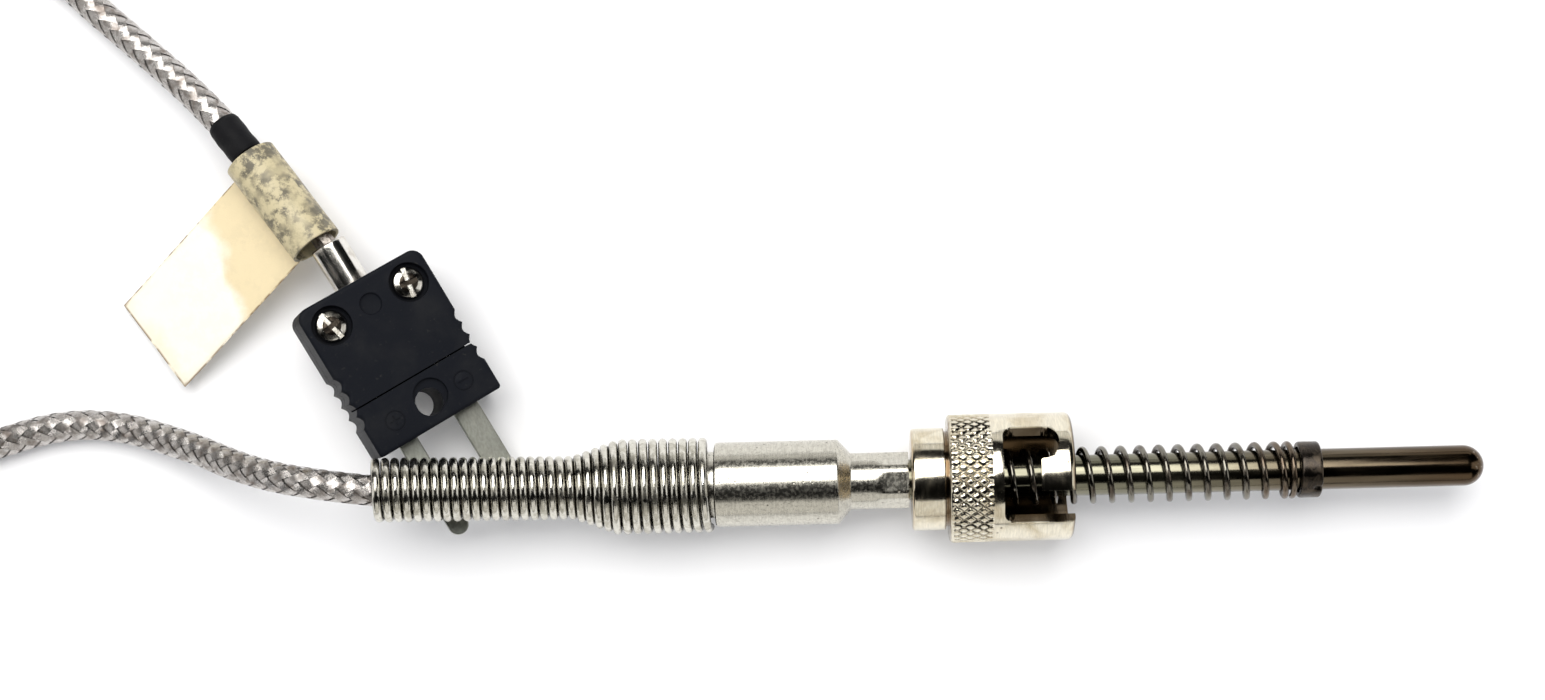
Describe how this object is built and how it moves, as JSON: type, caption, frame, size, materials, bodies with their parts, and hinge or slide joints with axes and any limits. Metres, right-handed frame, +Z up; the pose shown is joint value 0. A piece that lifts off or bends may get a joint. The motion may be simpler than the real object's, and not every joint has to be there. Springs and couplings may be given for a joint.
{
  "type": "bayonet thermocouple",
  "caption": "Spring-loaded bayonet thermocouple probe with a coil strain relief, a metal-braided lead and a flat two-pin miniature plug.",
  "frame": {"origin": "under the middle of the probe, on the plane that the cap's edge and the coiled lead rest on", "axes": "+X along the probe towards its measuring tip, +Z up, the probe's axis 7.5 mm above z = 0"},
  "size_m": [0.233, 0.0756, 0.0158],
  "materials": {
    "nickel_plate": "gloss",
    "satin_steel": "satin",
    "bright_steel": "satin",
    "dark_spring_steel": "satin",
    "heat_tinted_steel": "satin",
    "ceramic": "matte",
    "positive_alloy": "satin",
    "negative_alloy": "satin",
    "potting_resin": "satin",
    "steel_braid": "satin",
    "black_tie": "satin",
    "black_heat_shrink": "matte",
    "yellowed_label": "matte",
    "crimp_nickel": "gloss",
    "black_plastic": "matte"
  },
  "bodies": {
    "probe": {"compression_spring": "dark_spring_steel", "retaining_ring": "dark_spring_steel", "sheath_tube": "heat_tinted_steel", "ceramic_insulator": "ceramic", "thermoelement_positive": "positive_alloy", "thermoelement_negative": "negative_alloy", "measuring_junction": "bright_steel", "lead_wire_positive": "positive_alloy", "lead_wire_negative": "negative_alloy", "splice_positive": "bright_steel", "splice_negative": "bright_steel", "transition_ferrule": "satin_steel", "ferrule_filling": "potting_resin", "strain_relief_spring": "bright_steel", "cable_in_relief": "steel_braid", "cable_lead_in": "steel_braid", "cable_coil": "steel_braid", "coil_tie_1": "black_tie", "coil_tie_2": "black_tie", "cable_lead_out": "steel_braid", "heat_shrink_sleeve": "black_heat_shrink", "label_wrap": "yellowed_label", "lead_core": "steel_braid", "crimp_tube": "crimp_nickel", "plug_base": "black_plastic", "plug_cover": "black_plastic", "pin_positive": "positive_alloy", "pin_negative": "negative_alloy", "cover_screw_positive": "bright_steel", "cover_screw_negative": "bright_steel", "terminal_screw_positive": "bright_steel", "terminal_screw_negative": "bright_steel", "conductor_positive": "positive_alloy", "conductor_negative": "negative_alloy"},
    "spring_seat": {"thrust_washer": "satin_steel"},
    "cap": {"bayonet_cap": "nickel_plate"}
  },
  "joints": [
    {"name": "cap_slide", "type": "slide", "parent": "probe", "child": "spring_seat", "axis": [1, 0, 0], "range_m": [0, 0.02], "stiffness_N_per_m": 370, "springref_m": -0.003, "deforming": ["compression_spring"]},
    {"name": "cap_spin", "type": "hinge", "parent": "spring_seat", "child": "cap", "pos_m": [0, 0, 0.0075], "axis": [1, 0, 0], "continuous": true}
  ]
}
